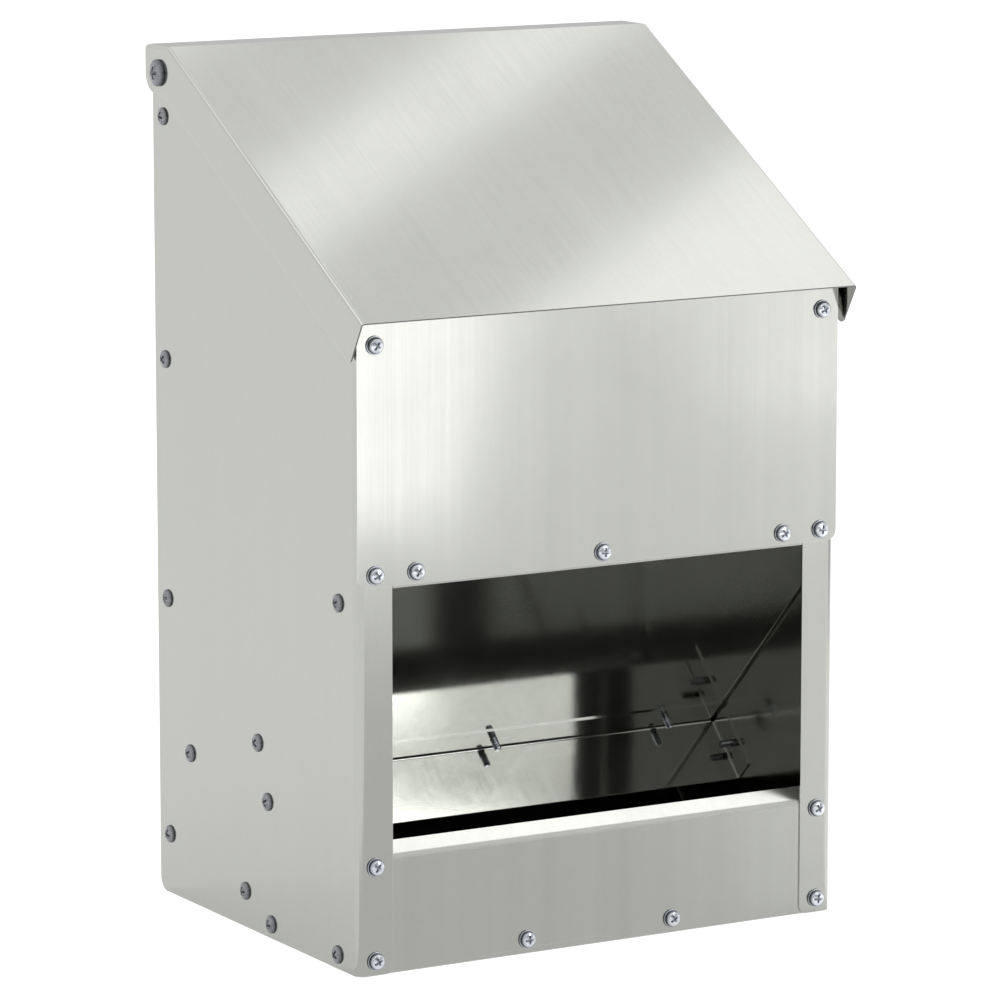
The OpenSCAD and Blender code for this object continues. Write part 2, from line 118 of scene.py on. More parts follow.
def buildZincSkin():
    # frost-like crystals and small pits of the zinc coat
    tree, given, result = newGroup("zincSkin", [
        ("Place", "NodeSocketVector", None),
        ("Crystals Per Metre", "NodeSocketFloat", 300.0),
        ("Pits Per Metre", "NodeSocketFloat", 1400.0),
    ], [("Crystals", "NodeSocketFloat"), ("Pits", "NodeSocketFloat")])
    crystals = addNode(tree, "ShaderNodeTexVoronoi",
                       {"Vector": given.outputs["Place"],
                        "Scale": given.outputs["Crystals Per Metre"], "Randomness": 1.0},
                       feature="F1")
    shade = addNode(tree, "ShaderNodeSeparateColor", {"Color": crystals.outputs["Color"]})
    pits = addNode(tree, "ShaderNodeTexNoise",
                   {"Vector": given.outputs["Place"],
                    "Scale": given.outputs["Pits Per Metre"],
                    "Detail": 2.0, "Roughness": 0.7})
    tree.links.new(shade.outputs["Red"], result.inputs["Crystals"])
    tree.links.new(pits.outputs["Fac"], result.inputs["Pits"])
    return tree


def buildHandlingMarks():
    # broad clouds left by hands and stacking, and the slight wave of thin sheet
    tree, given, result = newGroup("handlingMarks", [
        ("Place", "NodeSocketVector", None),
        ("Clouds Per Metre", "NodeSocketFloat", 14.0),
        ("Waves Per Metre", "NodeSocketFloat", 7.0),
    ], [("Clouds", "NodeSocketFloat"), ("Waves", "NodeSocketFloat")])
    clouds = addNode(tree, "ShaderNodeTexNoise",
                     {"Vector": given.outputs["Place"],
                      "Scale": given.outputs["Clouds Per Metre"],
                      "Detail": 4.0, "Roughness": 0.55, "Distortion": 0.4})
    waves = addNode(tree, "ShaderNodeTexNoise",
                    {"Vector": given.outputs["Place"],
                     "Scale": given.outputs["Waves Per Metre"],
                     "Detail": 0.0, "Roughness": 0.3})
    spread = addNode(tree, "ShaderNodeMapRange",
                     {"Value": clouds.outputs["Fac"], "From Min": 0.35, "From Max": 0.65})
    tree.links.new(spread.outputs["Result"], result.inputs["Clouds"])
    tree.links.new(waves.outputs["Fac"], result.inputs["Waves"])
    return tree


def buildEdgeSheenAndWear():
    # bright cut edges and corners, partly rubbed wear and partly a painted highlight where a
    # rounded edge would catch light, found by comparing rounded and true normals
    tree, given, result = newGroup("edgeSheenAndWear", [
        ("Width", "NodeSocketFloat", 0.0004),
        ("Threshold", "NodeSocketFloat", 0.06),
    ], [("Edge", "NodeSocketFloat")])
    rounded = addNode(tree, "ShaderNodeBevel", {"Radius": given.outputs["Width"]}, samples=4)
    surface = addNode(tree, "ShaderNodeNewGeometry")
    likeness = howAlike(tree, rounded.outputs["Normal"], surface.outputs["Normal"])
    turn = doMath(tree, "SUBTRACT", 1.0, likeness)
    edge = addNode(tree, "ShaderNodeMapRange",
                   {"Value": turn, "From Min": 0.0, "From Max": given.outputs["Threshold"]})
    tree.links.new(edge.outputs["Result"], result.inputs["Edge"])
    return tree


rollingMarks = buildRollingMarks()
zincSkin = buildZincSkin()
handlingMarks = buildHandlingMarks()
edgeSheenAndWear = buildEdgeSheenAndWear()
print("built the shared effects")


# Finishes of the sheets

bodySheetFinish = {
    "colour": (0.520, 0.527, 0.497),     # zinc with a faint warm green cast
    "metallic": 1.0,                     # less where a dull film scatters some light
    "roughness": 0.115,
    "linesPerMetre": (700.0, 700.0, 8.0),
    "lineShade": 0.05,
    "lineRoughness": 0.03,
    "lineHeight": 0.35,                  # in micrometres, as the heights below
    "crystalShade": 0.012,
    "pitsPerMetre": 1400.0,
    "pitHeight": 0.12,
    "waveHeight": 14.0,
    "cloudRoughness": 0.03,
    "edgeSheenAndWearColour": (0.70, 0.71, 0.69),    # bright cut edges and corners: painted highlight, partly rubbed wear
    "edgeWidth": 0.4,                    # in millimetres
    "cutFace": None,                     # which way a sheared edge faces, where one shows
    "cutSteelAndShadeColour": (0.22, 0.222, 0.215),   # its bare steel, with a painted shade line under the lid's edge
    "cutRoughness": 0.45,
    "cutLikeness": 0.95,                 # cosine of how far off its faces may look
    "bendFace": None,                    # which way the middle of a cracked bend faces
    "bendRoughness": 0.55,               # its cracked zinc
    # the same cosine where the cracks start and where they are full; the flat faces beside
    # a 45 degree bend are 22.5 degrees off its middle, which is 0.924
    "bendLikeness": (0.928, 0.96),
}
sideSheetFinish = dict(bodySheetFinish, lineShade=0.012, lineHeight=0.25)
lidSheetFinish = dict(bodySheetFinish, roughness=0.10, linesPerMetre=(600.0, 8.0, 8.0),
                      lineShade=0.02, lineHeight=0.12, cloudRoughness=0.02,
                      cutFace=(0.0, -0.866, -0.5))      # the lid's front edge
lowSheetFinish = dict(bodySheetFinish, roughness=0.18,
                      bendFace=(0.0, -0.924, 0.383))    # the lip's bend
hopperSheetFinish = dict(bodySheetFinish, colour=(0.455, 0.462, 0.436), metallic=0.965,
                         roughness=0.06, linesPerMetre=(500.0, 10.0, 10.0),
                         lineHeight=0.2, crystalShade=0.03, pitsPerMetre=900.0,
                         pitHeight=8.0, waveHeight=22.0, cloudRoughness=0.04)


def makeSheetFinish(name, finish):
    material = bpy.data.materials.new(name)
    material.use_nodes = True
    tree = material.node_tree
    shader = tree.nodes["Principled BSDF"]
    shader.inputs["Metallic"].default_value = finish["metallic"]
    coordinates = addNode(tree, "ShaderNodeTexCoord")
    place = coordinates.outputs["Object"]
    lines = placeGroup(tree, rollingMarks,
                       {"Place": place, "Lines Per Metre": finish["linesPerMetre"]})
    zinc = placeGroup(tree, zincSkin, {"Place": place,
                                       "Pits Per Metre": finish["pitsPerMetre"]})
    marks = placeGroup(tree, handlingMarks, {"Place": place})
    edges = placeGroup(tree, edgeSheenAndWear, {"Width": finish["edgeWidth"] * mm})

    shade = doMath(tree, "MULTIPLY_ADD", lines.outputs["Broad Lines"],
                   finish["lineShade"], 1.0 - finish["lineShade"] / 2)
    shade = doMath(tree, "SUBTRACT", shade, finish["crystalShade"] / 2)
    shade = doMath(tree, "MULTIPLY_ADD", zinc.outputs["Crystals"],
                   finish["crystalShade"], shade)
    tinted = addNode(tree, "ShaderNodeVectorMath", {0: finish["colour"], "Scale": shade},
                     operation="SCALE").outputs[0]
    # the cut edges and corners get a painted highlight, partly rubbed wear
    coloured = mixColour(tree, edges.outputs["Edge"], tinted, finish["edgeSheenAndWearColour"])
    rough = doMath(tree, "MULTIPLY_ADD", lines.outputs["Lines"],
                   finish["lineRoughness"], finish["roughness"] - finish["lineRoughness"] / 2)
    rough = doMath(tree, "MULTIPLY_ADD", marks.outputs["Clouds"],
                   finish["cloudRoughness"], rough)
    if finish["cutFace"]:
        likeness = howAlike(tree, coordinates.outputs["Normal"], finish["cutFace"])
        sheared = doMath(tree, "GREATER_THAN", likeness, finish["cutLikeness"])
        # the lid's front cut face: bare steel, darkened as a painted shade line
        coloured = mixColour(tree, sheared, coloured, finish["cutSteelAndShadeColour"])
        rough = mixNumber(tree, sheared, rough, finish["cutRoughness"])
    if finish["bendFace"]:
        likeness = howAlike(tree, coordinates.outputs["Normal"], finish["bendFace"])
        start, full = finish["bendLikeness"]
        bent = addNode(tree, "ShaderNodeMapRange",
                       {"Value": likeness, "From Min": start, "From Max": full})
        rough = mixNumber(tree, bent.outputs["Result"], rough, finish["bendRoughness"])
    tree.links.new(coloured, shader.inputs["Base Color"])
    tree.links.new(rough, shader.inputs["Roughness"])

    height = doMath(tree, "MULTIPLY", lines.outputs["Lines"], finish["lineHeight"])
    height = doMath(tree, "MULTIPLY_ADD", zinc.outputs["Pits"], finish["pitHeight"], height)
    height = doMath(tree, "MULTIPLY_ADD", marks.outputs["Waves"], finish["waveHeight"], height)
    bump = addNode(tree, "ShaderNodeBump",
                   {"Height": height, "Strength": 1.0, "Distance": micron})
    tree.links.new(bump.outputs["Normal"], shader.inputs["Normal"])
    return material


# Finishes of the fasteners

frontScrewFinish = {
    "colour": (0.86, 0.90, 0.96),
    "crystalsPerMetre": 1600.0,
    "mottle": 0.10,               # how much the crystals differ in shade
    "roughness": 0.16,
    "pitRoughness": 0.1,
    "pitsPerMetre": 5000.0,
    "pitHeight": 1.5,             # in micrometres
    # painted shade: the dark colour of corners, flanks, the recess and grooves, standing in
    # for dark reflections
    "paintedShadeColour": (0.10, 0.107, 0.122),
    "paintedShadeRoughness": 0.12,       # what full painted shade adds to the roughness
}
# the side and pivot screws are darker than the front ones: painted shade for the dark
# reflections on their heads
sideScrewFinish = dict(frontScrewFinish, colour=(0.26, 0.266, 0.285), mottle=0.50,
                       roughness=0.28, paintedShadeColour=(0.105, 0.108, 0.118))
pivotFinish = dict(sideScrewFinish, colour=(0.50, 0.52, 0.56))


def makeFastenerFinish(name, finish):
    material = bpy.data.materials.new(name)
    material.use_nodes = True
    tree = material.node_tree
    shader = tree.nodes["Principled BSDF"]
    shader.inputs["Metallic"].default_value = 1.0
    place = addNode(tree, "ShaderNodeTexCoord").outputs["Object"]
    zinc = placeGroup(tree, zincSkin,
                      {"Place": place, "Crystals Per Metre": finish["crystalsPerMetre"],
                       "Pits Per Metre": finish["pitsPerMetre"]})
    # painted shade at each point, darkest in corners, on the flanks, in the recess and the
    # grooves
    paintedShade = addNode(tree, "ShaderNodeAttribute", attribute_name="paintedShade").outputs["Fac"]
    shade = doMath(tree, "MULTIPLY_ADD", zinc.outputs["Crystals"],
                   finish["mottle"], 1.0 - finish["mottle"] / 2)
    tinted = addNode(tree, "ShaderNodeVectorMath", {0: finish["colour"], "Scale": shade},
                     operation="SCALE").outputs[0]
    coloured = mixColour(tree, paintedShade, tinted, finish["paintedShadeColour"])
    tree.links.new(coloured, shader.inputs["Base Color"])
    rough = doMath(tree, "MULTIPLY_ADD", zinc.outputs["Pits"],
                   finish["pitRoughness"], finish["roughness"] - finish["pitRoughness"] / 2)
    rough = doMath(tree, "MULTIPLY_ADD", paintedShade, finish["paintedShadeRoughness"], rough)
    tree.links.new(rough, shader.inputs["Roughness"])
    bump = addNode(tree, "ShaderNodeBump",
                   {"Height": zinc.outputs["Pits"], "Strength": 1.0,
                    "Distance": finish["pitHeight"] * micron})
    tree.links.new(bump.outputs["Normal"], shader.inputs["Normal"])
    return material


bodySheet = makeSheetFinish("bodySheet", bodySheetFinish)
sideSheet = makeSheetFinish("sideSheet", sideSheetFinish)
lidSheet = makeSheetFinish("lidSheet", lidSheetFinish)
lowSheet = makeSheetFinish("lowSheet", lowSheetFinish)
hopperSheet = makeSheetFinish("hopperSheet", hopperSheetFinish)
frontScrewZinc = makeFastenerFinish("frontScrewZinc", frontScrewFinish)
sideScrewZinc = makeFastenerFinish("sideScrewZinc", sideScrewFinish)
pivotZinc = makeFastenerFinish("pivotZinc", pivotFinish)

cadFinishes = {
    "left_side_panel": sideSheet, "right_side_panel": sideSheet, "back_panel": sideSheet,
    "upper_front_panel": bodySheet, "lower_front_panel": lowSheet,
    "feed_pan": hopperSheet, "hopper_baffle": hopperSheet, "feed_flap": hopperSheet,
    "lid": lidSheet,
    "left_pivot_spacer": pivotZinc, "right_pivot_spacer": pivotZinc,
    "left_pivot_nut": pivotZinc, "right_pivot_nut": pivotZinc,
}
for nodeName, finish in cadFinishes.items():
    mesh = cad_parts[nodeName].data
    mesh.materials.clear()
    mesh.materials.append(finish)
print("finished the sheets and pivot fittings")


# Screws, in millimetres; a level of painted shade runs from 0 to 1

frontScrew = {
    "headDiameter": 7.6, "headHeight": 2.5, "headSide": 1.0, "crown": 0.45,
    "flatShare": 0.72,             # of the head's radius, inside its rounded shoulder
    # after the foot's inset, the level of painted shade on the head's flank
    "edge": 0.12,                  # of the small bevels at its foot and the recess's rim
    "footInset": 0.1, "sideShadeLevel": 0.7,
    "washerDiameter": 9.2, "washerThickness": 0.8, "washerChamfer": 0.15,
    "seatShadeWidth": 0.45,             # of the painted shade on the washer face, round the head
    "solidHeight": 3.3,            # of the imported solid's head
    "recessSpan": 4.6, "recessWidth": 1.15, "recessDepth": 1.5,
    # after the recess's cone, the level of painted shade in the recess
    "recessTaper": 0.62,           # span of the recess's floor as a share of its mouth's
    "recessCone": 0.25, "recessShadeLevel": 0.6,
    "shankDiameter": 4.0, "shankLength": 8.0, "shankInHead": 0.3,
    # the thread, with the level of painted shade in its grooves last
    "pitch": 1.4, "threadDepth": 0.6, "ridgeTaper": 1.25, "grooveShadeLevel": 0.85,
    "tipLength": 0.9, "tipTaper": 0.8,
    "roundSteps": 48, "shoulderSteps": 6, "threadSides": 16, "threadSteps": 8,
}
sideScrew = dict(frontScrew, headDiameter=9.0, headHeight=2.7, headSide=0.4, crown=1.4,
                 washerDiameter=0.0, washerThickness=0.0)
pivotScrew = dict(sideScrew, headDiameter=13.4, headHeight=3.7, headSide=1.0, crown=1.5,
                  solidHeight=3.7, shankDiameter=6.0, shankLength=12.0, pitch=1.2,
                  recessSpan=6.4, recessWidth=1.5, recessDepth=2.0)


def recessRadius(angle, halfSpan, halfWidth):
    # outline of a cross of two bars, seen from its middle
    tiny = 1e-6
    across, along = max(abs(math.cos(angle)), tiny), max(abs(math.sin(angle)), tiny)
    return max(min(halfSpan / across, halfWidth / along),
               min(halfSpan / along, halfWidth / across))


def headAngles(screw):
    # even steps round the head, and the corners of the cross
    corner = math.atan2(screw["recessWidth"], screw["recessSpan"])
    quarter = math.pi / 2
    steps = screw["roundSteps"] // 4
    angles = set()
    for turn in range(4):
        for offset in (corner, quarter / 2, quarter - corner):
            angles.add(round(turn * quarter + offset, 6))
        for step in range(steps):
            angles.add(round(turn * quarter + quarter * step / steps, 6))
    return sorted(angles)


def headRings(screw, angles):
    # from the seat over the crown and down into the cross recess: each ring's radius and
    # height at every angle, and its level of painted shade
    headRadius, washerRadius = screw["headDiameter"] / 2, screw["washerDiameter"] / 2
    hiddenRadius = screw["shankDiameter"] / 2 * 0.8        # where the shank covers it
    flatRadius = headRadius * screw["flatShare"]
    seat, edge = screw["washerThickness"], screw["edge"]
    top, sideTop = seat + screw["headHeight"], seat + screw["headSide"]
    outline = [recessRadius(angle, screw["recessSpan"] / 2, screw["recessWidth"] / 2)
               for angle in angles]

    def crownHeight(radius):
        return top - screw["crown"] * (radius / flatRadius) ** 2

    def evenRing(radius, height, shadeLevel):
        return [(radius, height)] * len(angles), shadeLevel

    # painted shade is full under the head and in the corner at its foot, and fades over the
    # shoulder
    rings = [evenRing(hiddenRadius, 0.0, 1.0)]
    if washerRadius > headRadius:
        chamfer = screw["washerChamfer"]
        rings += [evenRing(washerRadius - chamfer, 0.0, 1.0),
                  evenRing(washerRadius, chamfer, 1.0),
                  evenRing(washerRadius, seat - chamfer, 0.75),
                  evenRing(washerRadius - chamfer, seat, 0.3),
                  evenRing(headRadius + screw["seatShadeWidth"], seat, 0.5),
                  evenRing(headRadius + edge, seat, 1.0)]
    rings += [evenRing(headRadius - screw["footInset"], seat, 1.0),
              evenRing(headRadius, seat + edge, 1.0),
              evenRing(headRadius, sideTop, screw["sideShadeLevel"])]
    shoulder = crownHeight(flatRadius)
    for step in range(1, screw["shoulderSteps"]):
        turn = step / screw["shoulderSteps"] * math.pi / 2
        rings.append(evenRing(flatRadius + (headRadius - flatRadius) * math.cos(turn),
                              sideTop + (shoulder - sideTop) * math.sin(turn),
                              screw["sideShadeLevel"] * math.cos(turn) ** 1.5))
    rings.append(evenRing(flatRadius, shoulder, 0.0))
    # the round outline turns into the cross in three steps
    for share in (0.66, 0.33):
        radii = [r + (flatRadius - r) * share for r in outline]
        rings.append(([(r, crownHeight(r)) for r in radii], 0.0))
    rings.append(([(r + edge, crownHeight(r + edge)) for r in outline], 0.0))
    rings.append(([(r, crownHeight(r) - edge) for r in outline], 0.25))
    floorLevel = top - screw["recessDepth"]
    rings.append(([(r * screw["recessTaper"], floorLevel) for r in outline],
                  screw["recessShadeLevel"]))
    return rings, floorLevel


def addHead(screw, points, faces, paintedShade):
    angles = headAngles(screw)
    count = len(angles)
    rings, floorLevel = headRings(screw, angles)
    for ring, shadeLevel in rings:
        for (radius, height), angle in zip(ring, angles):
            points.append((radius * math.cos(angle), radius * math.sin(angle), height))
            paintedShade.append(shadeLevel)
    last = (len(rings) - 1) * count
    for below in range(0, last, count):
        above = below + count
        for i in range(count):
            j = (i + 1) % count
            faces.append((below + i, below + j, above + j, above + i))
    underside, recessPoint = len(points), len(points) + 1
    points += [(0.0, 0.0, 0.0), (0.0, 0.0, floorLevel - screw["recessCone"])]
    paintedShade += [1.0, screw["recessShadeLevel"]]
    for i in range(count):
        j = (i + 1) % count
        faces.append((j, i, underside))
        faces.append((last + i, last + j, recessPoint))


def addShank(screw, points, faces, paintedShade):
    # the thread's ridge climbs once per turn, and the upper end lies in the head
    sides, length, tipLength = screw["threadSides"], screw["shankLength"], screw["tipLength"]
    levels = int(length / screw["pitch"] * screw["threadSteps"])
    shankRadius = screw["shankDiameter"] / 2
    start = len(points)
    for level in range(-1, levels + 1):
        depth = length * level / levels if level >= 0 else -screw["shankInHead"]
        left = length - depth
        for i in range(sides):
            phase = (depth / screw["pitch"] + i / sides) % 1.0
            ridge = max(0.0, 1.0 - abs(2.0 * phase - 1.0) * screw["ridgeTaper"])
            radius = shankRadius - screw["threadDepth"] * (1.0 - ridge)
            if left < tipLength:
                radius = min(radius, shankRadius - (tipLength - left) * screw["tipTaper"])
            angle = 2 * math.pi * i / sides
            points.append((radius * math.cos(angle), radius * math.sin(angle), -depth))
            # painted shade in the thread's grooves
            paintedShade.append(screw["grooveShadeLevel"] * (1.0 - ridge))
    last = start + (levels + 1) * sides
    for upper in range(start, last, sides):
        lower = upper + sides
        for i in range(sides):
            j = (i + 1) % sides
            faces.append((upper + i, lower + i, lower + j, upper + j))
    faces.append(tuple(start + i for i in range(sides)))
    faces.append(tuple(last + i for i in reversed(range(sides))))


def screwForm(screw):
    # points in metres, faces, and the painted shade at each point
    points, faces, paintedShade = [], [], []
    addHead(screw, points, faces, paintedShade)
    addShank(screw, points, faces, paintedShade)
    return [Vector(p) * mm for p in points], faces, paintedShade


screwSizes = {"front": frontScrew, "side": sideScrew, "pivot": pivotScrew}
screwForms = {form: screwForm(screw) for form, screw in screwSizes.items()}
firstTurn, turnStep = 1.3, 2.1        # in radians, so that the recesses point all ways
sharpAngle = 38.0                     # in degrees; flatter edges are shaded smooth


def makeScrews(nodeName, form, places, direction, finish):
    # one piece with a screw at every place; the heads point along direction
    points, faces, paintedShade = [], [], []
    formPoints, formFaces, formPaintedShade = screwForms[form]
    facing = Vector(direction).to_track_quat("Z", "Y").to_matrix()
    for number, place in enumerate(places):
        driven = Matrix.Rotation(firstTurn + turnStep * number + len(nodeName), 3, "Z")
        turned = facing @ driven
        start = len(points)
        points += [turned @ p + Vector(place) * mm for p in formPoints]
        faces += [tuple(start + i for i in face) for face in formFaces]
        paintedShade += formPaintedShade
    mesh = bpy.data.meshes.new(nodeName + "_detailed")
    mesh.from_pydata(points, [], faces)
    # the painted shade goes to the finish as a point attribute
    mesh.attributes.new("paintedShade", "FLOAT", "POINT").data.foreach_set("value", paintedShade)
    mesh.polygons.foreach_set("use_smooth", [True] * len(mesh.polygons))
    mesh.set_sharp_from_angle(angle=math.radians(sharpAngle))
    mesh.materials.append(finish)
    piece = bpy.data.objects.new(nodeName + "_detailed", mesh)
    bpy.context.scene.collection.objects.link(piece)
    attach(piece, "body")
    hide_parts(nodeName)


# Seats of the screws in millimetres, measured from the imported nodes

def solidBoxes(nodeName):
    # lowest and highest corners of the separate solids of a node
    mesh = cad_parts[nodeName].data
    parent = list(range(len(mesh.vertices)))

    def root(i):
        while parent[i] != i:
            parent[i] = parent[parent[i]]
            i = parent[i]
        return i

    # points at the same micrometre are one
    byPlace = {}
    for vertex in mesh.vertices:
        key = tuple(round(c, 6) for c in vertex.co)
        parent[vertex.index] = byPlace.setdefault(key, vertex.index)
    for edge in mesh.edges:
        parent[root(edge.vertices[0])] = root(edge.vertices[1])
    solids = {}
    for vertex in mesh.vertices:
        solids.setdefault(root(vertex.index), []).append(vertex.co)
    boxes = []
    for group in solids.values():
        low = Vector(min(c[k] for c in group) for k in range(3))
        high = Vector(max(c[k] for c in group) for k in range(3))
        boxes.append((low / mm, high / mm))
    return sorted(boxes, key=lambda box: tuple(round(c, 1) for c in box[0]))


frontGroups = ["upper_panel_screws", "baffle_top_screws", "lower_panel_screws",
               "pan_front_screws"]
sideGroups = ["back_panel_screws", "baffle_screws", "flap_screw", "ramp_screws",
              "floor_screws"]


def seatOf(box, direction, screw):
    # the seat lies a shank's length from the tip, on the axis through the box's middle
    low, high = box
    centre = (low + high) / 2
    whole = screw["shankLength"] + screw["solidHeight"]
    return centre + Vector(direction) * (screw["shankLength"] - whole / 2)


def fitScrews(nodeName, form, direction, finish):
    seats = [seatOf(box, direction, screwSizes[form]) for box in solidBoxes(nodeName)]
    makeScrews(nodeName, form, seats, direction, finish)


for nodeName in frontGroups:
    fitScrews(nodeName, "front", (0, -1, 0), frontScrewZinc)
for side, outward in (("left", (-1, 0, 0)), ("right", (1, 0, 0))):
    for group in sideGroups:
        fitScrews(side + "_" + group, "side", outward, sideScrewZinc)
    fitScrews(side + "_pivot_screw", "pivot", outward, sideScrewZinc)


# The seam screws stand square to the baffle, with their heads in the hopper

seamUp = math.sqrt(0.5)
seamReach = (frontScrew["shankLength"] + frontScrew["shankDiameter"] / 2) * seamUp
seamSeats = []
for low, high in solidBoxes("flap_seam_screws"):
    seamSeats.append(Vector(((low.x + high.x) / 2, low.y + seamReach, low.z + seamReach)))
makeScrews("flap_seam_screws", "front", seamSeats, (0, seamUp, seamUp), frontScrewZinc)
print("made the screws")


# Floor, room and screens

studio = {
    "floorRadius": 14.0,
    "floorSides": 96,
    "floorColour": (0.72, 0.72, 0.72),
    "floorGlowSeen": 0.60,        # plain white that the camera sees in the floor
    "floorGlowMirrored": 0.315,   # the same, as the metal shows it
    "roomColour": (0.97, 0.97, 0.965),
}


def makeFloorFinish():
    material = bpy.data.materials.new("studioFloor")
    material.use_nodes = True
    tree = material.node_tree
    tree.nodes.clear()
    result = tree.nodes.new("ShaderNodeOutputMaterial")
    lit = addNode(tree, "ShaderNodeBsdfDiffuse", {"Color": studio["floorColour"] + (1.0,)})
    path = addNode(tree, "ShaderNodeLightPath")
    mirrored = doMath(tree, "ADD", path.outputs["Is Glossy Ray"],
                      path.outputs["Is Transmission Ray"])
    mirrored = doMath(tree, "MULTIPLY", mirrored, studio["floorGlowMirrored"])
    strength = doMath(tree, "MULTIPLY_ADD", path.outputs["Is Camera Ray"],
                      studio["floorGlowSeen"], mirrored)
    glow = addNode(tree, "ShaderNodeEmission",
                   {"Color": (1.0, 1.0, 1.0, 1.0), "Strength": strength})
    both = addNode(tree, "ShaderNodeAddShader",
                   {0: lit.outputs[0], 1: glow.outputs[0]})
    tree.links.new(both.outputs[0], result.inputs["Surface"])
    return material


def makeFloor():
    sides, radius = studio["floorSides"], studio["floorRadius"]
    rim = []
    for i in range(sides):
        turn = 2 * math.pi * i / sides
        rim.append((radius * math.cos(turn), radius * math.sin(turn), 0.0))
    mesh = bpy.data.meshes.new("studioFloor")
    mesh.from_pydata(rim, [], [tuple(range(sides))])
    mesh.materials.append(makeFloorFinish())
    floor = bpy.data.objects.new("studioFloor", mesh)
    bpy.context.scene.collection.objects.link(floor)


def makeWorld():
    world = bpy.data.worlds.new("studioWorld")
    world.use_nodes = True
    background = world.node_tree.nodes["Background"]
    background.inputs["Color"].default_value = studio["roomColour"] + (1.0,)
    background.inputs["Strength"].default_value = 1.0
    bpy.context.scene.world = world


# Screens out of the camera's sight: two stand before and behind the feeder, and three lie on
# the floor; foot is the middle of the lower edge, and the other edges fade out
screens = {
    "darkFront": {"foot": (0.0, -4.0, 0.0), "across": (1.0, 0.0, 0.0), "up": (0.0, 0.0, 1.0),
                  "width": 12.0, "height": 1.9, "sideFade": 2.0, "topFade": 0.7,
                  "brightness": 0.34},
    "greyRear": {"foot": (3.0, 5.0, 0.0), "across": (1.0, 0.0, 0.0), "up": (0.0, 0.0, 1.0),
                 "width": 6.0, "height": 2.9, "sideFade": 1.0, "topFade": 1.0,
                 "brightness": 0.60},
    # a painted shadow: a grey card where the feeder's shade falls on the floor before its
    # mouth, for the front panels to mirror
    "paintedFloorShadow": {"foot": (-0.159, -0.095, 0.0004), "across": (0.857, 0.515, 0.0),
                  "up": (0.515, -0.857, 0.0), "width": 0.53, "height": 1.15,
                  "sideFade": 0.13, "topFade": 0.65, "brightness": 0.74},
    # the right front corner's bend mirrors these
    "paleCorner": {"foot": (0.499, 0.161, 0.0008), "across": (0.809, 0.588, 0.0),
                   "up": (0.588, -0.809, 0.0), "width": 0.9, "height": 1.0,
                   "sideFade": 0.05, "topFade": 0.4, "brightness": 1.22},
    "darkCorner": {"foot": (1.665, -0.571, 0.0012), "across": (0.292, 0.956, 0.0),
                   "up": (-0.956, 0.292, 0.0), "width": 0.72, "height": 1.1,
                   "sideFade": 0.16, "topFade": 0.55, "brightness": 0.60},
}


def makeScreenFinish(name, screen):
    material = bpy.data.materials.new(name)
    material.use_nodes = True
    material.cycles.emission_sampling = "NONE"
    tree = material.node_tree
    tree.nodes.clear()
    place = addNode(tree, "ShaderNodeTexCoord").outputs["Object"]
    parts = addNode(tree, "ShaderNodeSeparateXYZ", {0: place})
    across = doMath(tree, "ABSOLUTE", parts.outputs["X"])
    half, height = screen["width"] / 2, screen["height"]
    side = addNode(tree, "ShaderNodeMapRange",
                   {"Value": across, "From Min": half - screen["sideFade"], "From Max": half},
                   interpolation_type="SMOOTHSTEP").outputs["Result"]
    top = addNode(tree, "ShaderNodeMapRange",
                  {"Value": parts.outputs["Y"], "From Min": height - screen["topFade"],
                   "From Max": height}, interpolation_type="SMOOTHSTEP").outputs["Result"]
    glow = addNode(tree, "ShaderNodeEmission", {"Strength": screen["brightness"]})
    clear = addNode(tree, "ShaderNodeBsdfTransparent")
    both = addNode(tree, "ShaderNodeMixShader",
                   {0: doMath(tree, "MAXIMUM", side, top), 1: glow.outputs[0],
                    2: clear.outputs[0]})
    result = tree.nodes.new("ShaderNodeOutputMaterial")
    tree.links.new(both.outputs[0], result.inputs["Surface"])
    return material


def makeScreen(name, screen):
    half, height = screen["width"] / 2, screen["height"]
    mesh = bpy.data.meshes.new(name)
    mesh.from_pydata([(-half, 0.0, 0.0), (half, 0.0, 0.0), (half, height, 0.0),
                      (-half, height, 0.0)], [], [(0, 1, 2, 3)])
    mesh.materials.append(makeScreenFinish(name, screen))
    piece = bpy.data.objects.new(name, mesh)
    across, up = Vector(screen["across"]), Vector(screen["up"])
    axes = Matrix((across, up, across.cross(up))).transposed()
    piece.matrix_world = Matrix.Translation(screen["foot"]) @ axes.to_4x4()
    piece.visible_camera = False
    piece.visible_shadow = False
    bpy.context.scene.collection.objects.link(piece)


for name, screen in screens.items():
    makeScreen(name, screen)
makeFloor()
makeWorld()
print("laid the floor and lit the room")


# Lamps: flat softboxes, with the brightness that they add in a mirror; the second size is
# the one along the given direction, and beam is an angle in degrees

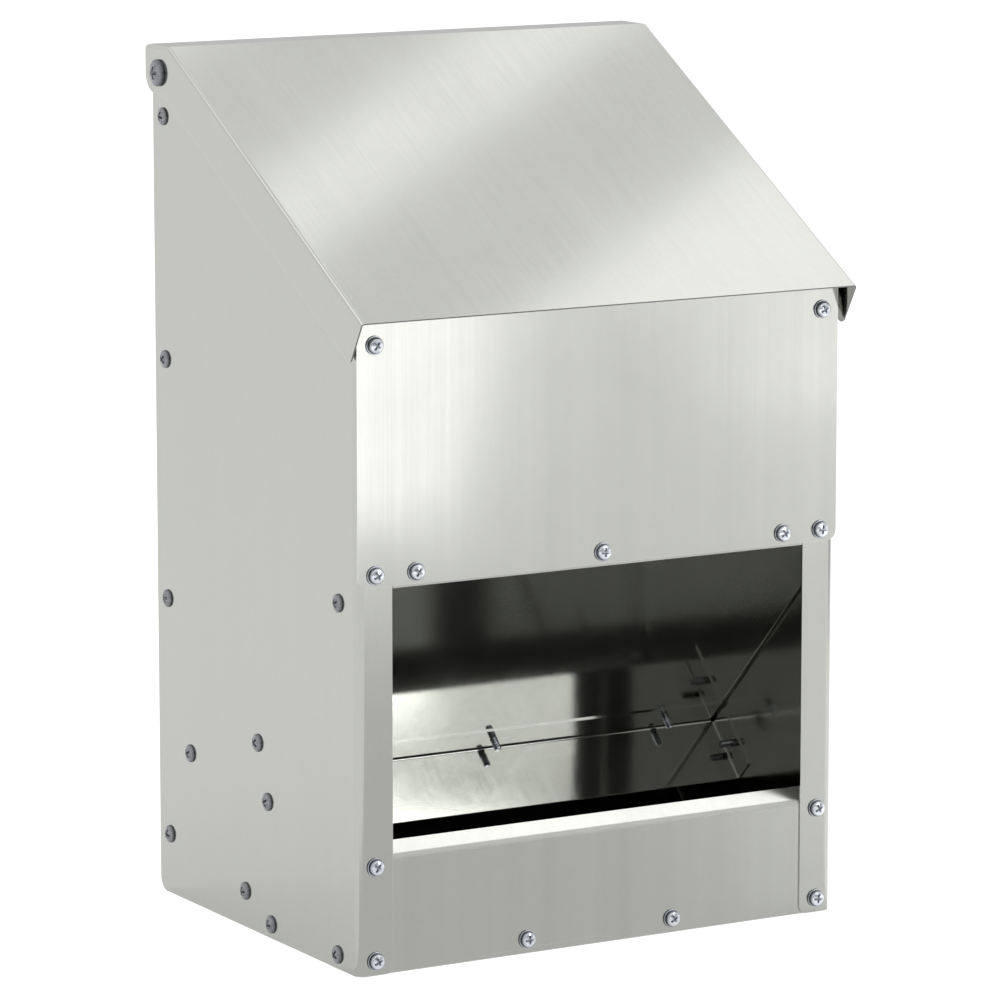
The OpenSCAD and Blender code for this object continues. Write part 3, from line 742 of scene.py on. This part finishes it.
downward, upward = (0.0, 0.0, -1.0), (0.0, 0.0, 1.0)
backward = (0.0, 1.0, 0.0)
acrossLidBands = (-0.47, 0.883, 0.0)
intoMouth = (-0.50, 0.85, -0.19)
softboxes = {
    "lidBandRear": {"place": (0.76, 0.83, 1.9), "size": (1.6, 0.06), "brightness": 0.5,
                    "towards": downward, "along": acrossLidBands},
    "lidBandMiddle": {"place": (0.855, 0.66, 1.9), "size": (1.6, 0.075), "brightness": 0.56,
                      "towards": downward, "along": acrossLidBands},
    "lidBandFront": {"place": (0.98, 0.41, 1.9), "size": (1.6, 0.19), "brightness": 0.6,
                     "towards": downward, "along": acrossLidBands},
    "lidBend": {"place": (-1.15, 0.55, 1.9), "size": (0.8, 0.5), "brightness": 0.7,
                "towards": downward, "along": backward},
    "lipBox": {"place": (1.15, -0.50, 1.9), "size": (1.0, 0.6), "brightness": 1.1,
               "towards": downward, "along": backward},
    # these lie on the floor
    "panelLeft": {"place": (0.664, -1.911, 0.004), "size": (0.55, 1.5), "brightness": 1.08,
                  "towards": upward, "along": (0.535, -0.845, 0.0)},
    "panelRightFar": {"place": (1.356, -1.868, 0.004), "size": (0.3, 1.1), "brightness": 0.57,
                      "towards": upward, "along": (0.515, -0.857, 0.0)},
    "panelRightNear": {"place": (0.92, -1.14, 0.004), "size": (0.3, 0.6), "brightness": 0.12,
                       "towards": upward, "along": (0.515, -0.857, 0.0)},
    # the chute shows these after two reflections
    "chuteLow": {"place": (0.537, -0.993, 0.277), "size": (0.308, 0.112), "brightness": 2.15,
                 "towards": intoMouth, "along": upward, "beam": 70.0},
    "chuteHigh": {"place": (0.544, -0.993, 0.389), "size": (0.32, 0.112), "brightness": 1.3,
                  "towards": intoMouth, "along": upward, "beam": 70.0},
    "chuteHotLow": {"place": (0.478, -0.995, 0.276), "size": (0.09, 0.042), "brightness": 7.0,
                    "towards": intoMouth, "along": (0.2, 0.0, 1.0), "beam": 70.0},
    "chuteHotHigh": {"place": (0.485, -0.995, 0.3985), "size": (0.24, 0.06), "brightness": 9.0,
                     "towards": intoMouth, "along": (-0.13, 0.0, 0.97), "beam": 70.0},
}


def addSoftbox(name, box):
    width, height = box["size"]
    data = bpy.data.lights.new(name, "AREA")
    data.shape = "RECTANGLE"
    data.size, data.size_y = width, height
    data.energy = box["brightness"] * math.pi * width * height
    if "beam" in box:
        # a narrow beam is brighter along its middle for the same power
        half = math.radians(box["beam"]) / 2
        data.spread = 2 * half
        data.energy *= (math.tan(half) - half) / math.tan(half)
    lamp = bpy.data.objects.new(name, data)
    bpy.context.scene.collection.objects.link(lamp)
    rear = -Vector(box["towards"]).normalized()
    across = Vector(box["along"]).cross(rear).normalized()
    axes = Matrix((across, rear.cross(across), rear)).transposed()
    lamp.matrix_world = Matrix.Translation(box["place"]) @ axes.to_4x4()
    lamp.visible_camera = False


for name, box in softboxes.items():
    addSoftbox(name, box)
print("hung", len(softboxes), "softboxes")


# Camera, as the photograph was taken

view = {
    "target": (0.0005, 0.0, 0.2052),
    "distance": 2.742,
    "azimuth": -30.19,            # in degrees from the front, below zero to the left
    "elevation": 9.744,
    "lens": 198.1,                # in millimetres, as the sensor
    "sensor": 36.0,
    "nearest": 0.05,
    "farthest": 60.0,
}


def placeCamera():
    azimuth, elevation = math.radians(view["azimuth"]), math.radians(view["elevation"])
    back = Vector((math.sin(azimuth) * math.cos(elevation),
                   -math.cos(azimuth) * math.cos(elevation), math.sin(elevation)))
    data = bpy.data.cameras.new("productCamera")
    data.lens, data.sensor_width = view["lens"], view["sensor"]
    data.clip_start, data.clip_end = view["nearest"], view["farthest"]
    camera = bpy.data.objects.new("productCamera", data)
    bpy.context.scene.collection.objects.link(camera)
    camera.location = Vector(view["target"]) + back * view["distance"]
    camera.rotation_mode = "QUATERNION"
    camera.rotation_quaternion = (-back).to_track_quat("-Z", "Y")
    bpy.context.scene.camera = camera


placeCamera()
bpy.context.scene.view_settings.view_transform = "Standard"
print("placed the camera")
